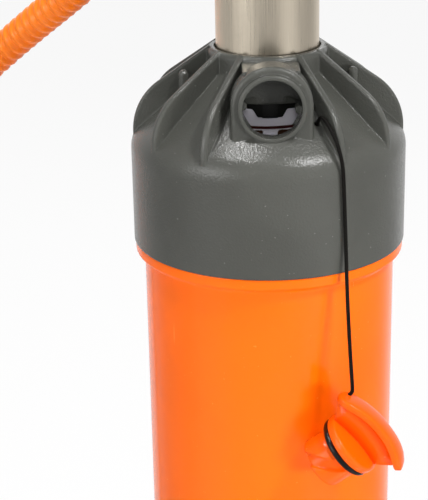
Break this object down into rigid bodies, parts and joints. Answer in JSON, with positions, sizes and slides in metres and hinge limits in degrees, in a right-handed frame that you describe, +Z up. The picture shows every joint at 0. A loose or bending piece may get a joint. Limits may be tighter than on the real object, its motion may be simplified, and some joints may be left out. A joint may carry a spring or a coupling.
{
  "type": "hand pump",
  "caption": "Upright double-action hand pump with a thick hollow rod, ribbed cap, mode plug on a lanyard, T handle, corrugated hose and foot plate.",
  "frame": {"origin": "on the floor at the barrel axis, rod fully down", "axes": "+Z up along the barrel, the handle and the foot treads along X, -Y is the front with the mode port"},
  "size_m": [0.328, 0.3641, 0.5979],
  "materials": {
    "orange_barrel": "glossy orange moulding",
    "orange_part": "satin orange moulding",
    "dark_cap": "fine speckled dark grey",
    "black_plastic": "satin black moulding",
    "soft_grip": "matte soft rubber",
    "black_rubber": "matte black rubber",
    "red_rubber": "dark red rubber",
    "white_plastic": "white nylon with a film of grease",
    "rod_metal": "brushed",
    "steel": "plain",
    "braid": "fine black braid"
  },
  "bodies": {
    "barrel": {"barrel": "orange_barrel", "intake_flap": "black_rubber", "bottom_bumper": "black_rubber", "foot_plate": "black_plastic", "foot_pads": "black_rubber", "foot_screws": "steel", "cap": "dark_cap", "top_guide": "white_plastic", "guide_ring": "red_rubber", "guide_sleeve": "black_plastic", "shaft_seal": "red_rubber", "shaft_wiper": "black_rubber", "cap_gasket": "black_rubber", "lanyard_top": "braid", "cap_knot": "braid", "hose_coil": "orange_part", "hose_end_cuff": "soft_grip", "valve_fitting": "black_plastic", "fitting_gasket": "black_rubber"},
    "rod": {"shaft": "rod_metal", "shaft_pins": "steel", "air_tube": "rod_metal", "piston_base": "black_plastic", "piston_cover": "black_plastic", "piston_seal": "red_rubber", "piston_wear_ring": "white_plastic", "piston_screws": "steel", "delivery_flap": "black_rubber", "handle": "black_plastic", "hub_cover": "orange_part", "cover_gasket": "black_rubber", "cover_screws": "steel", "manifold": "black_plastic", "ring_flap": "black_rubber", "grip_left": "soft_grip", "grip_right": "soft_grip", "end_cap_left": "orange_part", "end_cap_right": "orange_part", "outlet_elbow": "black_plastic", "elbow_ring": "black_rubber", "hose_cuff": "soft_grip", "hose": "orange_part"},
    "hose_nut": {"hose_nut": "black_plastic"},
    "plug": {"plug": "orange_part", "plug_ring": "black_rubber", "lanyard_drop": "braid", "plug_knot": "braid"}
  },
  "joints": [
    {"name": "rod_slide", "type": "slide", "parent": "barrel", "child": "rod", "axis": [0, 0, 1], "range_m": [0, 0.384]},
    {"name": "nut_turn", "type": "hinge", "parent": "rod", "child": "hose_nut", "pos_m": [-0.00939, 0.05365, 0.56722], "axis": [-0.7223, 0.2809, -0.632], "range_deg": [0, 60]},
    {"name": "plug_swing", "type": "hinge", "parent": "barrel", "child": "plug", "pos_m": [0.02575, -0.04883, 0.45855], "axis": [-0.8846, -0.4664, 0], "range_deg": [0, 60]}
  ]
}
